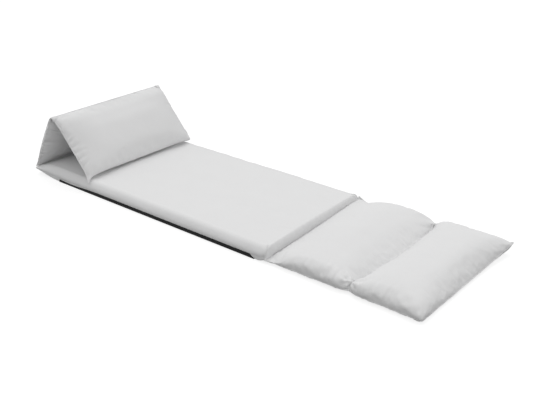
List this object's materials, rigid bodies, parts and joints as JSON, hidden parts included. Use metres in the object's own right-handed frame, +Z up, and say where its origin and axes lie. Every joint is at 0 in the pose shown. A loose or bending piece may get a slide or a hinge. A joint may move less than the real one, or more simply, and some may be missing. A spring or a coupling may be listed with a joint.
{
  "type": "folding floor chair",
  "caption": "Folding floor chair laid flat: ratchet-hinged mat with a tented two-panel headrest and padded foot pillows that fold back over the seat",
  "frame": {"origin": "centre of the bounding box on the floor, under the laid-out chair", "axes": "+X from the headrest to the foot pillows, +Y across the mat to its left side seen from the head, +Z up from the floor"},
  "size_m": [1.893, 0.606, 0.2864],
  "materials": {
    "grey_fabric": "smooth matt woven polyester, light grey",
    "black_cloth": "black non-woven underside cloth",
    "foam": "open-cell upholstery foam",
    "fibre_fill": "hollow fibre wadding",
    "elastic_webbing": "flat elastic webbing",
    "black_powder_coat": "black powder coat on steel tube",
    "zinc_plated_steel": "zinc-plated stamped steel",
    "spring_steel": "blued spring strip"
  },
  "bodies": {
    "seat": {"seat_cover": "grey_fabric", "seat_base_cloth": "black_cloth", "seat_foam": "foam", "seat_frame_tube": "black_powder_coat", "seat_cross_bar": "black_powder_coat", "seat_straps": "elastic_webbing", "fold_cover": "grey_fabric", "fold_foam": "foam", "outer_side_plates": "zinc_plated_steel", "inner_side_plates": "zinc_plated_steel", "pivot_rivets": "zinc_plated_steel", "pawl_pins": "zinc_plated_steel", "left_pawl_spring": "spring_steel", "right_pawl_spring": "spring_steel"},
    "back": {"back_cover": "grey_fabric", "back_base_cloth": "black_cloth", "back_foam": "foam", "back_frame_tube": "black_powder_coat", "back_cross_bar": "black_powder_coat", "back_straps": "elastic_webbing", "ratchet_plates": "zinc_plated_steel", "head_flap": "grey_fabric"},
    "headrest_rear": {"head_rear_cover": "grey_fabric", "head_rear_fill": "fibre_fill", "head_ridge_seam": "grey_fabric"},
    "headrest_front": {"head_front_cover": "grey_fabric", "head_front_fill": "fibre_fill"},
    "foot_inner": {"foot_inner_cover": "grey_fabric", "foot_inner_fill": "fibre_fill", "foot_seam": "grey_fabric", "foot_web": "grey_fabric"},
    "foot_outer": {"foot_outer_cover": "grey_fabric", "foot_outer_fill": "fibre_fill"},
    "left_pawl": {"left_pawl": "zinc_plated_steel"},
    "right_pawl": {"right_pawl": "zinc_plated_steel"}
  },
  "joints": [
    {"name": "back_recline", "type": "hinge", "parent": "seat", "child": "back", "pos_m": [-0.31218, 0, 0.02], "axis": [0, 1, 0], "range_deg": [0, 90], "deforming": ["fold_cover", "fold_foam"]},
    {"name": "headrest_fold", "type": "hinge", "parent": "back", "child": "headrest_rear", "pos_m": [-0.93818, 0, 0.032], "axis": [0, -1, 0], "range_deg": [0, 119.3]},
    {"name": "ridge_fold", "type": "hinge", "parent": "headrest_rear", "child": "headrest_front", "pos_m": [-0.79219, 0, 0.27886], "axis": [0, -1, 0], "range_deg": [0, 107.4]},
    {"name": "foot_fold", "type": "hinge", "parent": "seat", "child": "foot_inner", "pos_m": [0.34282, 0, 0.0675], "axis": [0, -1, 0], "range_deg": [0, 180], "deforming": ["foot_web"]},
    {"name": "foot_mid_fold", "type": "hinge", "parent": "foot_inner", "child": "foot_outer", "pos_m": [0.66322, 0, 0.036], "axis": [0, 1, 0], "range_deg": [-95, 0]},
    {"name": "left_pawl_swing", "type": "hinge", "parent": "seat", "child": "left_pawl", "pos_m": [-0.28798, 0.24, 0.01916], "axis": [0, 1, 0], "range_deg": [0, 9], "deforming": ["left_pawl_spring"]},
    {"name": "right_pawl_swing", "type": "hinge", "parent": "seat", "child": "right_pawl", "pos_m": [-0.28798, -0.24, 0.01916], "axis": [0, 1, 0], "range_deg": [0, 9], "deforming": ["right_pawl_spring"]}
  ]
}
